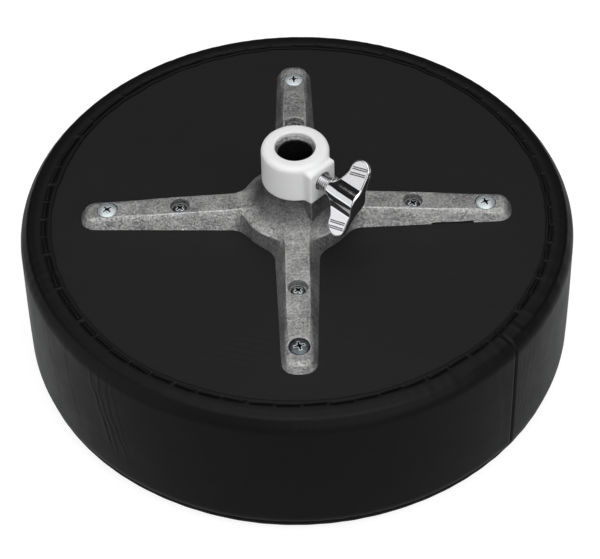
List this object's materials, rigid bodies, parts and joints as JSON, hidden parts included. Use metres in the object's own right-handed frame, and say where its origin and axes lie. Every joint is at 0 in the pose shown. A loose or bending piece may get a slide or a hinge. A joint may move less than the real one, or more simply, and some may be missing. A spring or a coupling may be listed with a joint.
{
  "type": "drum throne seat",
  "caption": "Round padded drum throne seat lying on its sitting face, with a cast post bracket, nylon collar and wing bolt that clamps a seat post.",
  "frame": {"origin": "on the seat axis in the plane of the sitting face, which lies on the floor; the seat is stored upside-down, as it lies when the post is fitted", "axes": "+Z runs along the post socket's axis and out of its mouth; the bracket's arms lie along +X, -X, +Y and -Y; the wing bolt points halfway between +X and -Y"},
  "size_m": [0.3555, 0.3556, 0.174],
  "materials": {
    "black_vinyl": "satin",
    "base_cloth": "matte",
    "plywood": "matte",
    "firm_foam": "matte",
    "soft_foam": "matte",
    "staple_steel": "satin",
    "cast_aluminium": "matte",
    "white_nylon": "satin",
    "bright_zinc": "satin",
    "dark_zinc": "satin",
    "yellow_zinc": "satin",
    "chrome_plate": "polished"
  },
  "bodies": {
    "seat": {"base_board": "plywood", "base_sheet": "base_cloth", "support_foam": "firm_foam", "comfort_foam": "soft_foam", "edge_padding": "soft_foam", "cover_side_band": "black_vinyl", "cover_top_panel": "black_vinyl", "cover_staples": "staple_steel", "post_bracket": "cast_aluminium", "nylon_collar": "white_nylon", "outer_screw_right": "bright_zinc", "outer_screw_back": "bright_zinc", "outer_screw_left": "bright_zinc", "outer_screw_front": "dark_zinc", "inner_screw_right": "dark_zinc", "inner_screw_back": "dark_zinc", "inner_screw_left": "dark_zinc", "inner_screw_front": "dark_zinc", "tee_nut_right": "yellow_zinc", "tee_nut_back": "yellow_zinc", "tee_nut_left": "yellow_zinc", "tee_nut_front": "yellow_zinc"},
    "bolt_stud": {"wing_bolt_stud": "chrome_plate"},
    "bolt_head": {"wing_bolt_head": "chrome_plate"}
  },
  "joints": [
    {"name": "wing_bolt_travel", "type": "slide", "parent": "seat", "child": "bolt_stud", "axis": [0.7071, -0.7071, 0], "range_m": [-0.0064, 0.0094]},
    {"name": "wing_bolt_turn", "type": "hinge", "parent": "bolt_stud", "child": "bolt_head", "pos_m": [0.02899, -0.02899, 0.1509], "axis": [0.7071, -0.7071, 0], "range_deg": [-1530, 2250]}
  ],
  "couplings": [
    {"joint": "wing_bolt_travel", "follows": "wing_bolt_turn", "m_per_rad": 0.00023873}
  ]
}
